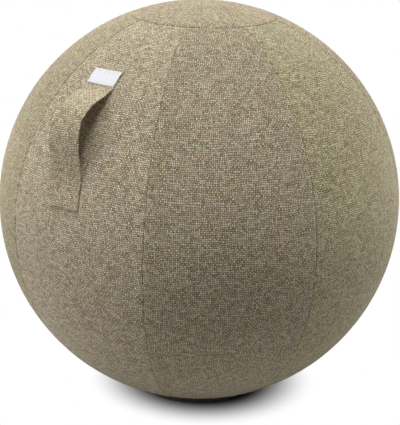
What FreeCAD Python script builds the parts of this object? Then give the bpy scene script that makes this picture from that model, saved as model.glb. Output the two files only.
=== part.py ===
"""A balance ball chair: an inflated ball inside a sewn fabric cover with a carry handle.

Millimetres, +Z up. The origin is on the floor under the ball's centre, and the handle
faces -Y. A bearing is an angle in degrees about +Z, from -Y towards +X. A depth is how
far a face lies inside the cover's outer face, and is negative outside it.
"""

import FreeCAD, Part
import math
import os
from FreeCAD import Matrix, Placement, Vector

# Ball: the cover's outer face, pressed flat where it stands
ball_radius = 325.0
base_lift = 2.0
base_blend_radius = 120.0

# Cover panels
gore_count = 8
fabric = 1.7
seam_gap = 0.5
seam_allowance = 10.0
cap_seam_angle = 20.5
base_seam_from_ring = 12.4

# Inner ball and its valve
bladder_gap = 0.3
bladder_wall = 0.8
valve_hole_radius = 12.0
valve_hole_gap = 0.1
valve_flange_radius = 18.0
valve_flange = 1.4
valve_stem_radius = 7.5
valve_stem_length = 15.0
valve_bore_radius = 4.1
valve_fit = 0.05
plug_head_radius = 8.2
plug_head = 1.8
plug_head_gap = 0.3
plug_length = 13.0

# Ring that keeps the ball from rolling
ring_tube_radius = 6.0
ring_from_zip = 12.95
ring_foot_flat = 0.4
ring_sleeve = 1.0
ring_core_gap = 0.1
ring_flange = 0.8
ring_flange_width = 12.0
ring_stitches = 72

# Zip round the base flap, and the fold that the flap opens on
zip_radius = 76.0
zip_slot = 10.4
zip_tape = 0.5
zip_tape_gap = 0.1
zip_tape_under = 6.0
coil_gap = 1.6
coil_width = 2.0
coil_depth = 0.2
zip_end_from_front = 11.7
zip_stop_width = 1.0
zip_stop_gap = 0.2
zip_stop_proud = 0.2
patch = 0.9
patch_gap = 0.1
patch_length = 18.6
patch_width = 20.0
fold_from_zip = 12.0
fold_gap = 0.5

# Slider and pull
slider_from_front = 18.6
slider_length = 12.0
slider_side_gap = 0.8
slider_taper = 0.6
slider_plate = 1.1
slider_inner_plate = 0.8
slider_gap = 0.3
slider_lip = 1.2
slider_web = 0.8
slider_web_length = 5.0
lug_width = 1.0
lug_length = 2.6
lug_gap = 0.2
lug_from_front = 2.4
pin_radius = 0.6
pin_fit = 0.05
pull_barrel_radius = 1.3
pull_barrel_width = 3.6
pull_clear = 0.15
pull_plate = 1.3
pull_width = 8.0
pull_length = 24.0
pull_hole_radius = 2.2

# Carry handle and label, as angles above the ball's equator
handle_width = 55.6
handle_thickness = 2.4
handle_top = 49.6
handle_bottom = 11.4
arch_top = 44.4
arch_peak = 32.3
arch_foot = 17.9
arch_rise = 32.0
arch_power = 1.6
arch_steps = 7
handle_bearing = -2.6
handle_skew = 3.4
layer_gap = 0.3
label_height = 26.0
label_thickness = 0.5
label_gap = 0.1
backing = 1.2
backing_margin = 6.0

# Stitches
stitch_length = 3.0
stitch_pitch = 4.0
stitch_width = 0.7
stitch_height = 0.5
stitch_gap = 0.1
stitch_inset = 2.5

ring_centre_height = ring_tube_radius - ring_foot_flat
ring_radius = zip_radius + zip_slot / 2 + zip_tape_under + ring_from_zip
ring_reach = ball_radius + ring_tube_radius + layer_gap
centre_height = ring_centre_height + math.sqrt(ring_reach**2 - ring_radius**2)
base_press = base_lift + ball_radius - centre_height
flat_radius = math.sqrt(base_press * (2 * ball_radius - base_press - 2 * base_blend_radius))
base_seam_radius = ring_radius + ring_tube_radius + base_seam_from_ring
base_seam_angle = math.degrees(math.asin(base_seam_radius / ball_radius))
fold_y = fold_from_zip - zip_radius
tape_depth = fabric + zip_tape_gap
slider_width = zip_slot - 2 * slider_side_gap
slider_inner_depth = tape_depth + zip_tape + slider_gap
slider_bearing = math.degrees(slider_from_front / zip_radius)
zip_end_bearing = math.degrees(zip_end_from_front / zip_radius)
hem_depth = 2 * fabric
bladder_depth = max(hem_depth, slider_inner_depth + slider_inner_plate) + bladder_gap
ball_centre = Vector(0, 0, centre_height)
straight_up = Vector(0, 0, 1)
far = 2 * ball_radius


def on_section(x, z):
    return Vector(x, 0, z)


def down_and_out(angle):
    """The direction in the section plane at an angle from straight down."""
    return on_section(math.sin(math.radians(angle)), -math.cos(math.radians(angle)))


def arc_angle(length):
    """The angle at the ball's centre of a length along the cover."""
    return math.degrees(length / ball_radius)


def outline(depth):
    """The cover's outline at a depth, as edges in the section plane from base to top."""
    floor_end = on_section(flat_radius, base_lift + depth)
    blend_centre = on_section(flat_radius, base_lift + base_blend_radius)
    tangent_way = (blend_centre - ball_centre).normalize()
    tangent = ball_centre + tangent_way * (ball_radius - depth)
    half_turn = math.degrees(math.atan2(tangent_way.x, -tangent_way.z)) / 2
    blend_middle = blend_centre + down_and_out(half_turn) * (base_blend_radius - depth)
    side = ball_centre + on_section(ball_radius - depth, 0)
    top = ball_centre + on_section(0, ball_radius - depth)
    return [
        Part.LineSegment(on_section(0, base_lift + depth), floor_end).toShape(),
        Part.Arc(floor_end, blend_middle, tangent).toShape(),
        Part.Arc(tangent, side, top).toShape(),
    ]


def closed_face(edges):
    return Part.Face(Part.Wire(Part.__sortEdges__(edges)))


def layer(outer_depth, inner_depth):
    """The section between two depths, all the way from base to top."""
    top = centre_height + ball_radius
    ends = [
        Part.LineSegment(on_section(0, base_lift + outer_depth), on_section(0, base_lift + inner_depth)),
        Part.LineSegment(on_section(0, top - outer_depth), on_section(0, top - inner_depth)),
    ]
    return closed_face(outline(outer_depth) + outline(inner_depth) + [end.toShape() for end in ends])


def wedge(low, high):
    """A fan in the section plane from the ball's centre, between angles from straight down."""
    steps = max(2, math.ceil((high - low) / 30))
    angles = [low + (high - low) * i / steps for i in range(steps + 1)]
    rim = [ball_centre + down_and_out(angle) * far for angle in angles]
    return Part.Face(Part.makePolygon([ball_centre] + rim + [ball_centre]))


def band(inner_radius, outer_radius):
    """The lower half of the section plane between two distances from the axis."""
    corners = [
        on_section(inner_radius, -far),
        on_section(outer_radius, -far),
        on_section(outer_radius, centre_height),
        on_section(inner_radius, centre_height),
    ]
    return Part.Face(Part.makePolygon(corners + corners[:1]))


def below_floor():
    corners = [on_section(0, -far), on_section(far, -far), on_section(far, 0), on_section(0, 0)]
    return Part.Face(Part.makePolygon(corners + corners[:1]))


def single(shape):
    """The one face of a flat boolean's result."""
    if len(shape.Faces) != 1:
        raise ValueError(f"a section has {len(shape.Faces)} faces instead of one")
    return shape.Faces[0]


def joined(first, *others):
    return first.fuse(list(others)).removeSplitter()


def turned(face, start=0.0, end=360.0):
    """The solid that a section makes between two bearings."""
    placed = face.copy()
    placed.rotate(Vector(), straight_up, start - 90)
    return placed.revolve(Vector(), straight_up, end - start)


def bearing_way(bearing):
    angle = math.radians(bearing)
    return Vector(math.sin(angle), -math.cos(angle), 0)


def save(name, shape):
    solids = shape.Solids
    if not solids or not shape.isValid():
        raise ValueError(f"{name} is not a valid solid")
    kept = solids[0] if len(solids) == 1 else Part.makeCompound(solids)
    kept.exportStep(f"parts/{name}.step")
    print(f"{name}: {len(solids)} solids, {kept.Volume / 1000:.2f} cm3")


def hemmed(low, high, hem_low, hem_high):
    """A panel's section with the seam allowance folded under the ends that have one."""
    turn = arc_angle(seam_allowance)
    panel = single(layer(0, fabric).common(wedge(low, high)))
    folded = layer(0, hem_depth)
    hems = []
    if hem_low:
        hems.append(single(folded.common(wedge(low, low + turn))))
    if hem_high:
        hems.append(single(folded.common(wedge(high - turn, high))))
    return single(joined(panel, *hems))


def top_cap():
    half_gap = arc_angle(seam_gap / 2)
    start = 180 - cap_seam_angle + half_gap
    return turned(hemmed(start, 180, True, False))


def gore(index):
    """One of the cover's upright panels, with its seam allowance folded in on all four sides."""
    half_gap = arc_angle(seam_gap / 2)
    low = base_seam_angle + half_gap
    high = 180 - cap_seam_angle - half_gap
    step = 360 / gore_count
    start = (index - 0.5) * step + half_gap
    end = (index + 0.5) * step - half_gap
    fold = arc_angle(seam_allowance)
    side_section = single(layer(0, hem_depth).common(wedge(low, high)))
    middle = turned(hemmed(low, high, True, True), start + fold, end - fold)
    return joined(middle, turned(side_section, start, start + fold), turned(side_section, end - fold, end))


def base_panel():
    """The ring of coated fabric between the gores and the zip."""
    high = base_seam_angle - arc_angle(seam_gap / 2)
    whole = hemmed(0, high, False, True)
    return turned(single(whole.common(band(zip_radius + zip_slot / 2, far))))


def ring_circle(radius):
    circle = Part.Circle(on_section(ring_radius, ring_centre_height), Vector(0, -1, 0), radius)
    return Part.Face(Part.Wire(circle.toShape()))


def ring_flange_edges():
    """The angles from straight down of the ring sleeve's sewn flange: its free edge and its root."""
    contact = math.degrees(math.asin(ring_radius / ring_reach))
    return contact - arc_angle(ring_flange_width), contact - arc_angle(2 * ring_sleeve)


def ring_sleeve_solid():
    outer = ring_circle(ring_tube_radius)
    hollow = ring_circle(ring_tube_radius - ring_sleeve)
    low, high = ring_flange_edges()
    flange = single(layer(-layer_gap - ring_flange, -layer_gap).common(wedge(low, high)))
    section = joined(outer, flange).cut(hollow).cut(below_floor())
    return turned(single(section))


def ring_core_solid():
    return turned(ring_circle(ring_tube_radius - ring_sleeve - ring_core_gap))


def half_space(high_side):
    """A box over everything on one side of the flap's fold, short of the fold by half its gap."""
    edge = fold_y + fold_gap / 2 if high_side else fold_y - fold_gap / 2 - far
    return Part.makeBox(2 * far, far, 2 * far, Vector(-far, edge, -far))


def split_at_fold(shape):
    """A ring or disc of the base as the flap's part and the part that stays on the cover."""
    return shape.common(half_space(True)), shape.common(half_space(False))


def flap_panels():
    section = single(layer(0, fabric).common(band(0, zip_radius - zip_slot / 2)))
    return split_at_fold(turned(section))


def zip_band(outer_depth, inner_depth, near, away, side):
    """A strip of the zip's section, from near to away out of its middle line, on one side."""
    edges = sorted([zip_radius + side * near, zip_radius + side * away])
    return single(layer(outer_depth, inner_depth).common(band(*edges)))


def tape_ring(side):
    section = zip_band(tape_depth, tape_depth + zip_tape, coil_gap / 2, zip_slot / 2 + zip_tape_under, side)
    return turned(section)


def coil_row(side):
    section = zip_band(coil_depth, fabric, coil_gap / 2, coil_gap / 2 + coil_width, side)
    return turned(section, zip_end_bearing, 360 - zip_end_bearing)


def zip_stop_group():
    """A stop at each end of both rows."""
    angle = math.degrees(zip_stop_width / zip_radius)
    gap = math.degrees(zip_stop_gap / zip_radius)
    near = coil_gap / 2 - zip_stop_proud / 2
    away = coil_gap / 2 + coil_width + zip_stop_proud
    stops = []
    for side in (-1, 1):
        section = zip_band(coil_depth - zip_stop_proud, fabric, near, away, side)
        first = zip_end_bearing - gap - angle
        stops.append(turned(section, first, first + angle))
        stops.append(turned(section, 360 - first - angle, 360 - first))
    return Part.makeCompound(stops)


def end_patch():
    """The sewn patch over the two ends of the zip."""
    section = layer(-patch_gap - patch, -patch_gap)
    half = patch_width / 2
    section = single(section.common(band(zip_radius - half, zip_radius + half)))
    half_turn = math.degrees(patch_length / 2 / zip_radius)
    return turned(section, -half_turn, half_turn)


def zip_place(bearing):
    """Local axes on the zip's middle line: along the zip, across it outwards, and out of the cover."""
    tilt = math.asin((zip_radius - flat_radius) / base_blend_radius)
    across = on_section(math.cos(tilt), math.sin(tilt))
    out = on_section(math.sin(tilt), -math.cos(tilt))
    origin = on_section(flat_radius, base_lift + base_blend_radius) + out * base_blend_radius
    matrix = Matrix(
        0, across.x, out.x, origin.x,
        1, 0, 0, origin.y,
        0, across.z, out.z, origin.z,
        0, 0, 0, 1,
    )
    turn = Placement(Vector(), FreeCAD.Rotation(straight_up, bearing - 90))
    return turn.multiply(Placement(matrix))


def pin_height():
    """How far the pull's pin stands out of the cover."""
    return slider_gap - coil_depth + slider_plate + pull_clear + pull_barrel_radius


def pin_along():
    """Where the pull's pin is along the slider, from its middle."""
    return lug_from_front - slider_length / 2


def local_box(low, high):
    size = high - low
    return Part.makeBox(size.x, size.y, size.z, low)


def slider_solid():
    """Two plates joined by the web that runs between the coils, with lugs and a pin for the pull."""
    plate_in = coil_depth - slider_gap
    plate_out = plate_in - slider_plate
    inner_depth = slider_inner_depth + slider_inner_plate
    half = slider_width / 2
    half_turn = math.degrees(slider_length / 2 / zip_radius)
    web_turn = math.degrees(slider_web_length / 2 / zip_radius)
    middle = band(zip_radius - half, zip_radius + half)
    plate = single(layer(plate_out, plate_in).common(middle))
    lip_low = tape_depth - slider_gap
    lips = [zip_band(plate_out, lip_low, half - slider_lip, half, side) for side in (-1, 1)]
    inner_plate = single(layer(slider_inner_depth, inner_depth).common(middle))
    web_band = band(zip_radius - slider_web / 2, zip_radius + slider_web / 2)
    web = single(layer(plate_out, inner_depth).common(web_band))
    body = joined(
        turned(single(joined(plate, *lips)), slider_bearing - half_turn, slider_bearing + half_turn),
        turned(inner_plate, slider_bearing - half_turn, slider_bearing + half_turn),
        turned(web, slider_bearing - web_turn, slider_bearing + web_turn),
    )
    place = zip_place(slider_bearing)
    front = -slider_length / 2 - 1
    tail = slider_length / 2 + 1
    tail_half = half - slider_taper
    plan = [Vector(front, -half, -far / 8), Vector(tail, -tail_half, -far / 8)]
    plan += [Vector(tail, tail_half, -far / 8), Vector(front, half, -far / 8)]
    outline_prism = Part.Face(Part.makePolygon(plan + plan[:1])).extrude(Vector(0, 0, far / 4))
    outline_prism.Placement = place
    body = body.common(outline_prism)
    height = pin_height()
    lug_in = pull_barrel_width / 2 + lug_gap
    lugs = []
    for side in (-1, 1):
        edges = sorted([side * lug_in, side * (lug_in + lug_width)])
        low = Vector(pin_along() - lug_length / 2, edges[0], -plate_out - slider_plate / 2)
        high = Vector(pin_along() + lug_length / 2, edges[1], height)
        lugs.append(local_box(low, high))
        cap = Part.makeCylinder(lug_length / 2, lug_width, Vector(pin_along(), edges[0], height), Vector(0, 1, 0))
        lugs.append(cap)
    reach = lug_in + lug_width
    pin = Part.makeCylinder(pin_radius, 2 * reach, Vector(pin_along(), -reach, height), Vector(0, 1, 0))
    mounts = lugs[0].fuse(lugs[1:] + [pin]).removeSplitter()
    mounts.Placement = place
    return joined(body, mounts)


def pull_solid():
    """The pull tab, lying along the zip, with the barrel that turns on the slider's pin."""
    height = pin_height()
    across = Vector(0, 1, 0)
    start = Vector(pin_along(), -pull_barrel_width / 2, height)
    barrel = Part.makeCylinder(pull_barrel_radius, pull_barrel_width, start, across)
    neck_end = pin_along() + pull_length / 4
    tip = pin_along() + pull_length
    half_neck = pull_barrel_width / 2
    half = pull_width / 2
    level = height - pull_plate / 2
    plan = [
        Vector(pin_along(), -half_neck, level),
        Vector(neck_end - half_neck, -half_neck, level),
        Vector(neck_end, -half, level),
        Vector(tip, -half, level),
        Vector(tip, half, level),
        Vector(neck_end, half, level),
        Vector(neck_end - half_neck, half_neck, level),
        Vector(pin_along(), half_neck, level),
    ]
    tab = Part.Face(Part.makePolygon(plan + plan[:1])).extrude(Vector(0, 0, pull_plate))
    corners = [edge for edge in tab.Edges if is_tip_corner(edge, tip)]
    tab = tab.makeFillet(half / 2, corners)
    eye = Vector(tip - half, 0, level - 1)
    tab = tab.cut(Part.makeCylinder(pull_hole_radius, pull_plate + 2, eye))
    bore = Part.makeCylinder(pin_radius + pin_fit, 2 * half, Vector(pin_along(), -half, height), across)
    pull = joined(barrel, tab).cut(bore)
    pull.Placement = zip_place(slider_bearing)
    return pull


def is_tip_corner(edge, tip):
    """Whether an edge of the pull is one of the two upright ones at its tip."""
    ends = [vertex.Point for vertex in edge.Vertexes]
    return all(abs(end.x - tip) < 1e-6 for end in ends) and abs(ends[0].y - ends[1].y) < 1e-6


def inner_ball():
    section = layer(bladder_depth, bladder_depth + bladder_wall)
    return turned(single(section.cut(band(0, valve_hole_radius))))


def round_solid(points):
    """A solid of revolution from points of its section, given as radius and height."""
    corners = [on_section(radius, height) for radius, height in points]
    return turned(Part.Face(Part.makePolygon(corners + corners[:1])))


def valve_seat():
    """The valve's body: a boss in the ball's hole, a flange inside the wall, and the stem."""
    low = base_lift + bladder_depth
    boss = valve_hole_radius - valve_hole_gap
    flange_low = low + bladder_wall + valve_hole_gap
    recess = plug_head_radius + plug_head_gap
    recess_top = low + plug_head + 2 * valve_hole_gap
    stem_top = low + valve_stem_length
    stem_radius = max(valve_stem_radius, valve_bore_radius + 1)
    return round_solid([
        (recess, low),
        (boss, low),
        (boss, flange_low),
        (valve_flange_radius, flange_low),
        (valve_flange_radius, flange_low + valve_flange),
        (stem_radius, flange_low + valve_flange),
        (stem_radius, stem_top),
        (valve_bore_radius, stem_top),
        (valve_bore_radius, recess_top),
        (recess, recess_top),
    ])


def valve_plug():
    low = base_lift + bladder_depth + valve_hole_gap
    shank = valve_bore_radius - valve_fit
    return round_solid([
        (0, low),
        (plug_head_radius, low),
        (plug_head_radius, low + plug_head),
        (shank, low + plug_head),
        (shank, low + plug_length - shank / 4),
        (shank * 3 / 4, low + plug_length),
        (0, low + plug_length),
    ])


def arch_height(angle):
    """How far the strap stands off the cover at an angle above the equator."""
    if angle >= arch_top or angle <= arch_foot:
        return 0.0
    reach = arch_top - arch_peak if angle > arch_peak else arch_peak - arch_foot
    share = 1 - abs(angle - arch_peak) / reach
    return arch_rise * math.sin(math.pi / 2 * share) ** arch_power


def strap_point(angle, thickness):
    """A point of the strap in the section plane, thickness out of its inner face."""
    step = 0.05
    places = []
    for at in (angle - step, angle, angle + step):
        places.append(down_and_out(90 + at) * (ball_radius + layer_gap + arch_height(at)))
    along = (places[2] - places[0]).normalize()
    out = on_section(along.z, -along.x)
    return ball_centre + places[1] + out * thickness


def strap_edges(thickness):
    """One face of the strap: a sewn arc, the free arch and the other sewn arc."""
    tangent_low = down_and_out(180 + arch_foot)
    tangent_high = down_and_out(180 + arch_top)
    angles = [arch_foot + (arch_peak - arch_foot) * i / arch_steps for i in range(arch_steps)]
    angles += [arch_peak + (arch_top - arch_peak) * i / arch_steps for i in range(arch_steps + 1)]
    spline = Part.BSplineCurve()
    spline.interpolate(
        Points=[strap_point(angle, thickness) for angle in angles],
        InitialTangent=tangent_low,
        FinalTangent=tangent_high,
    )
    arcs = []
    for low, high in ((handle_bottom, arch_foot), (arch_top, handle_top)):
        points = [strap_point(angle, thickness) for angle in (low, (low + high) / 2, high)]
        arcs.append(Part.Arc(*points).toShape())
    return [arcs[0], spline.toShape(), arcs[1]]


def on_handle(shape):
    """Turns a shape made over -Y to the handle's own bearing and lean."""
    middle = (handle_top + handle_bottom) / 2
    angle = math.radians(middle)
    shape.rotate(ball_centre, Vector(0, -math.cos(angle), math.sin(angle)), handle_skew)
    shape.rotate(Vector(), straight_up, handle_bearing)
    return shape


def trimmed(face, width):
    """A section over -Y turned far enough for a width, and cut to it with straight sides."""
    smallest = ball_radius * math.cos(math.radians(handle_top)) / 2
    half_turn = math.degrees(math.asin(min(0.9, width / 2 / smallest)))
    sides = Part.makeBox(width, far, 2 * far, Vector(-width / 2, -far, -far / 2))
    return on_handle(turned(face, -half_turn, half_turn).common(sides))


def handle_strap():
    ends = []
    for angle in (handle_bottom, handle_top):
        inner = strap_point(angle, 0)
        outer = strap_point(angle, handle_thickness)
        ends.append(Part.LineSegment(inner, outer).toShape())
    face = closed_face(strap_edges(0) + strap_edges(handle_thickness) + ends)
    return trimmed(face, handle_width)


def polar_patch(inner_radius, outer_radius, low, high, width):
    """A patch between two distances from the ball's centre and two angles above the equator."""
    circles = []
    for radius in (outer_radius, inner_radius):
        circle = Part.Circle(ball_centre, Vector(0, 1, 0), radius)
        circles.append(Part.Face(Part.Wire(circle.toShape())))
    section = circles[0].cut(circles[1]).common(wedge(90 + low, 90 + high))
    return trimmed(single(section), width)


def label():
    inner = ball_radius + layer_gap + handle_thickness + label_gap
    low = handle_top - arc_angle(label_height)
    return polar_patch(inner, inner + label_thickness, low, handle_top, handle_width)


def backing_patch(low, high):
    """The reinforcing patch inside the cover, behind a sewn end of the strap."""
    outer = ball_radius - fabric - layer_gap
    margin = arc_angle(backing_margin)
    width = handle_width + 2 * backing_margin
    return polar_patch(outer - backing, outer, low - margin, high + margin, width)


def stitch(position, along, out):
    """One stitch lying on a face."""
    bar = Part.makeBox(
        stitch_length, stitch_width, stitch_height, Vector(-stitch_length / 2, -stitch_width / 2, stitch_gap)
    )
    across = out.cross(along)
    bar.Placement = Placement(Matrix(
        along.x, across.x, out.x, position.x,
        along.y, across.y, out.y, position.y,
        along.z, across.z, out.z, position.z,
        0, 0, 0, 1,
    ))
    return bar


def stitch_row(angle, radius, width):
    """A row of stitches across the strap at an angle above the equator."""
    count = int((width - 2 * stitch_inset) / stitch_pitch)
    across_radius = radius * math.cos(math.radians(angle))
    row = []
    for i in range(count):
        offset = (i - (count - 1) / 2) * stitch_pitch
        bearing = math.degrees(math.asin(offset / across_radius))
        level = bearing_way(bearing)
        out = level * math.cos(math.radians(angle)) + straight_up * math.sin(math.radians(angle))
        along = straight_up.cross(level)
        row.append(on_handle(stitch(ball_centre + out * radius, along, out)))
    return row


def handle_stitches():
    radius = ball_radius + layer_gap + handle_thickness
    inset = arc_angle(stitch_inset)
    rows = stitch_row(handle_bottom + inset, radius, handle_width)
    rows += stitch_row(arch_foot - inset, radius, handle_width)
    return Part.makeCompound(rows)


def label_stitches():
    radius = ball_radius + layer_gap + handle_thickness + label_gap + label_thickness
    inset = arc_angle(stitch_inset)
    low = handle_top - arc_angle(label_height)
    rows = stitch_row(low + inset, radius, handle_width)
    rows += stitch_row(handle_top - inset, radius, handle_width)
    return Part.makeCompound(rows)


def ring_stitches_group():
    """The stitches that hold the ring sleeve's flange to the base panel."""
    angle = ring_flange_edges()[0] + arc_angle(stitch_inset)
    radius = ball_radius + layer_gap + ring_flange
    bars = []
    for i in range(ring_stitches):
        level = bearing_way(360 * i / ring_stitches)
        out = level * math.sin(math.radians(angle)) - straight_up * math.cos(math.radians(angle))
        bars.append(stitch(ball_centre + out * radius, straight_up.cross(level), out))
    return Part.makeCompound(bars)


os.makedirs("parts", exist_ok=True)

save("top_cap", top_cap())
for number in range(gore_count):
    save(f"gore_{number + 1}", gore(number))

save("base_panel", base_panel())
flap, hinge = flap_panels()
save("flap_panel", flap)
save("flap_hinge_panel", hinge)
save("base_ring_sleeve", ring_sleeve_solid())
save("base_ring_core", ring_core_solid())
save("base_ring_stitching", ring_stitches_group())

save("zip_tape_outer", tape_ring(1))
flap_tape, end_tape = split_at_fold(tape_ring(-1))
save("zip_tape_inner", flap_tape)
save("zip_tape_end", end_tape)
save("zip_coil_outer", coil_row(1))
flap_coil, end_coils = split_at_fold(coil_row(-1))
save("zip_coil_inner", flap_coil)
save("zip_coil_ends", end_coils)
save("zip_stops", zip_stop_group())
save("zip_end_patch", end_patch())
save("zip_slider", slider_solid())
save("zip_pull", pull_solid())

save("inner_ball", inner_ball())
save("valve_seat", valve_seat())
save("valve_plug", valve_plug())

save("handle_strap", handle_strap())
save("handle_stitching", handle_stitches())
save("handle_backing_top", backing_patch(arch_top, handle_top))
save("handle_backing_bottom", backing_patch(handle_bottom, arch_foot))
save("label", label())
save("label_stitching", label_stitches())
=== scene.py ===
"""The looks of a balance ball chair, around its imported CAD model.

Metres, +Z up. The handle faces -Y. A bearing is an angle in degrees about +Z, from -Y
towards +X. A latitude is an angle above the ball's equator. A depth is how far a point
lies inside the cover's outer face, and is negative outside it.
"""

import math

import bmesh
import bpy
import numpy as np
from mathutils import Matrix, Vector


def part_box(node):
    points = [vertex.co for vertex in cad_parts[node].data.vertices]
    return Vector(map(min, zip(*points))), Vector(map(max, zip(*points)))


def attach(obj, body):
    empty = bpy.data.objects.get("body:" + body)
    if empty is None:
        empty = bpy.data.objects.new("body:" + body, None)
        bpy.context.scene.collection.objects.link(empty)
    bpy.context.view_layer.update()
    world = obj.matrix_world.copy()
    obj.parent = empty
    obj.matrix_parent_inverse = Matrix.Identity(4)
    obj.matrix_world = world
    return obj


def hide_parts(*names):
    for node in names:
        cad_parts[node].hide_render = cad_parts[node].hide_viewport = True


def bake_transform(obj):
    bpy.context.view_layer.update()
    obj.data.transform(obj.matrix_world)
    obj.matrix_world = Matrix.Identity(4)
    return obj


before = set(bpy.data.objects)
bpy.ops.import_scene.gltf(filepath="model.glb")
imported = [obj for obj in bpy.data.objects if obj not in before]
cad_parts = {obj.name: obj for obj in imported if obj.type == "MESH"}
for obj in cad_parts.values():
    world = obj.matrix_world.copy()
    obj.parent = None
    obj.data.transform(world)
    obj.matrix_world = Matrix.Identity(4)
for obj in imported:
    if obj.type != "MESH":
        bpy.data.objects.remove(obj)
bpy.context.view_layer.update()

mm = 0.001

# Ball and cover
ball_radius = 325 * mm
centre_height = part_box("top_cap")[1].z - ball_radius
ball_centre = np.array([0, 0, centre_height])
base_lift = 2 * mm
base_blend = 120 * mm
flat_radius = 47.588 * mm
gore_count = 8
gore_end = 90 * mm
fabric = 1.7 * mm
half_gap = 0.12 * mm
seam_allowance = 10 * mm
cap_seam = 90 - 20.5
cap_grain = 14
base_seam = 21.393 - 90
bladder_depth = 3.7 * mm
bladder_wall = 0.8 * mm
bladder_flat = 74 * mm
bladder_rib = 0.2 * mm
bladder_rib_pitch = 6
bladder_ribs_from = 20
valve_hole = 12 * mm

# Cover: the filled ball's unevenness, and the lengths of its waves
bump_height = 0.5 * mm
wave_lengths = (75 * mm, 160 * mm)
wave_count = 9

# Depth of a sewn edge at distances from it
seam_shape = np.array([
    (0, 2.0), (0.05, 1.5), (0.3, 0.8), (1.0, 0.35), (2.5, 0.1), (5.0, 0.03), (10.0, 0), (10.4, 0),
]) * mm
pucker_height = 0.16 * mm
pucker_reach = 6 * mm
pucker_length = 14 * mm
pucker_wander = ((1.7, 13.7 * mm, 0), (1.1, 31.1 * mm, 2))

# Base: zip, flap, the patch over the zip's ends, and the ring
flap_bend = 56 * mm
zip_radius = 76 * mm
zip_slot = 10.4 * mm
tape_under = 6 * mm
tape_depth = 1.8 * mm
tape = 0.5 * mm
tape_from_middle = 0.8 * mm
coil_near = 0.45 * mm
coil_far = 2.8 * mm
coil_pitch = 1.5 * mm
coil_wire = 0.3 * mm
coil_depth = 1.0 * mm
coil_swing = 0.45 * mm
zip_end = 8.82
patch_width = 20 * mm
patch_half_turn = 7
patch_near = 0.1 * mm
patch_far = 1.0 * mm
patch_rim = 0.4 * mm
patch_rim_fall = 0.35 * mm
patch_inset = 2.2 * mm
patch_stitches = (-5.4, -2.7, 0, 2.7, 5.4)
ring_radius = 100.15 * mm
ring_height = 5.6 * mm
ring_tube = 6 * mm
ring_core = 4.8 * mm
ring_gap = 0.3 * mm
ring_gathers = 0.28 * mm
flange = 0.8 * mm
flange_root = 2 * mm
flange_reach = 12 * mm

# Carry handle and label
handle_width = 55.6 * mm
handle_thickness = 2.4 * mm
strap_edge = 1.2 * mm
end_share = 0.25
handle_top = 49.6
handle_bottom = 11.4
arch_top = 44.4
arch_peak = 32.3
arch_foot = 17.9
arch_rise = 32 * mm
arch_power = 1.6
handle_bearing = -2.6
handle_skew = 3.4
layer_gap = 0.3 * mm
label_width = 51.5 * mm
label_height = 26 * mm
label_turn = -3.5
label_shift = (2.1 * mm, -1.8 * mm)
label_thickness = 0.5 * mm
label_gap = 0.1 * mm
label_edge = 0.6 * mm
backing = 1.2 * mm
backing_margin = 6 * mm

# Label and thread textures, in millimetres
label_rib = 0.55
label_warp = 0.35
thread_lean = 1.4
thread_twist = 0.45

# Weave: lengths in yarn pitches, scales per metre
yarn_stagger = 0.618
yarn_apart = 7.31
yarn_wander = 0.5
yarn_fall = 3.6
yarn_arch = 2.2
warp_layer = 3.0
weft_layer = 9.0
drift_scale = 0.13
drift_reach = 2.6
fibre_relief = 0.4
slub_scale = (26, 260, 0)
tint_scale = (34, 60, 0)
tint_warm = (1.03, 0.99, 0.98, 1)
tint_green = (0.985, 1.005, 0.95, 1)

# Where each piece of cloth is cut from the weave, each panel's own tone, and the strap's painted light
gore_cut = (1.371, 0.613)
cap_cut_from = 5.3
strap_cut_from = 3.7
gore_tints = [
    (1.11, 1.10, 1.13), (0.95, 0.94, 0.94), (0.97, 1.0, 0.89), (0.93, 0.91, 0.85),
    (1.0, 1.0, 0.96), (1.03, 1.02, 1.0), (0.97, 0.97, 0.93), (0.98, 0.97, 0.92),
]
cap_tint = (1.02, 0.99, 0.96)
# Painted light: the strap is made lighter than the cover cloth it shares
strap_painted_light = (1.12, 1.11, 1.11)

# Stitches
stitch_length = 3 * mm
stitch_pitch = 4 * mm
stitch_width = 0.7 * mm
stitch_height = 0.5 * mm
stitch_inset = 2.5 * mm
ring_stitches = 72

# Camera
view_bearing = 36.1
view_latitude = 18.35
view_distance = 1.95
view_roll = 1.5
view_shift = (0.7, 13.2)
view_pixels = 1180.8
view_lens = 100.02
sensor_width = 36

# Floor, its shadow in the photograph's view, and light
floor_half = 9
floor_drop = 0.2 * mm
floor_shade = 0.42
# Painted shadow: round this spot the camera's white fades out between two distances, over the ball's
# real shadow
painted_shadow_centre = (0.0115, 0.0046)
painted_shadow_width = 1.10
painted_shadow_near = 94 * mm
painted_shadow_far = 180 * mm
sky_level = 0.01
lamp_distance = 3.0
lamp_spread = 30


# Points

def polar(bearing, latitude, radius):
    """Points at bearings and latitudes in degrees and distances from the ball's centre."""
    bearing, latitude, radius = np.broadcast_arrays(np.radians(bearing), np.radians(latitude), radius)
    level = radius * np.cos(latitude)
    x, y = level * np.sin(bearing), -level * np.cos(bearing)
    return np.stack([x, y, centre_height + radius * np.sin(latitude)], -1)


def arc_angle(length):
    return math.degrees(length / ball_radius)


def around(bearing, radius, height):
    """Points at bearings in degrees, distances from the axis and heights."""
    bearing, radius, height = np.broadcast_arrays(np.radians(bearing), radius, height)
    return np.stack([radius * np.sin(bearing), -radius * np.cos(bearing), height], -1)


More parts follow.
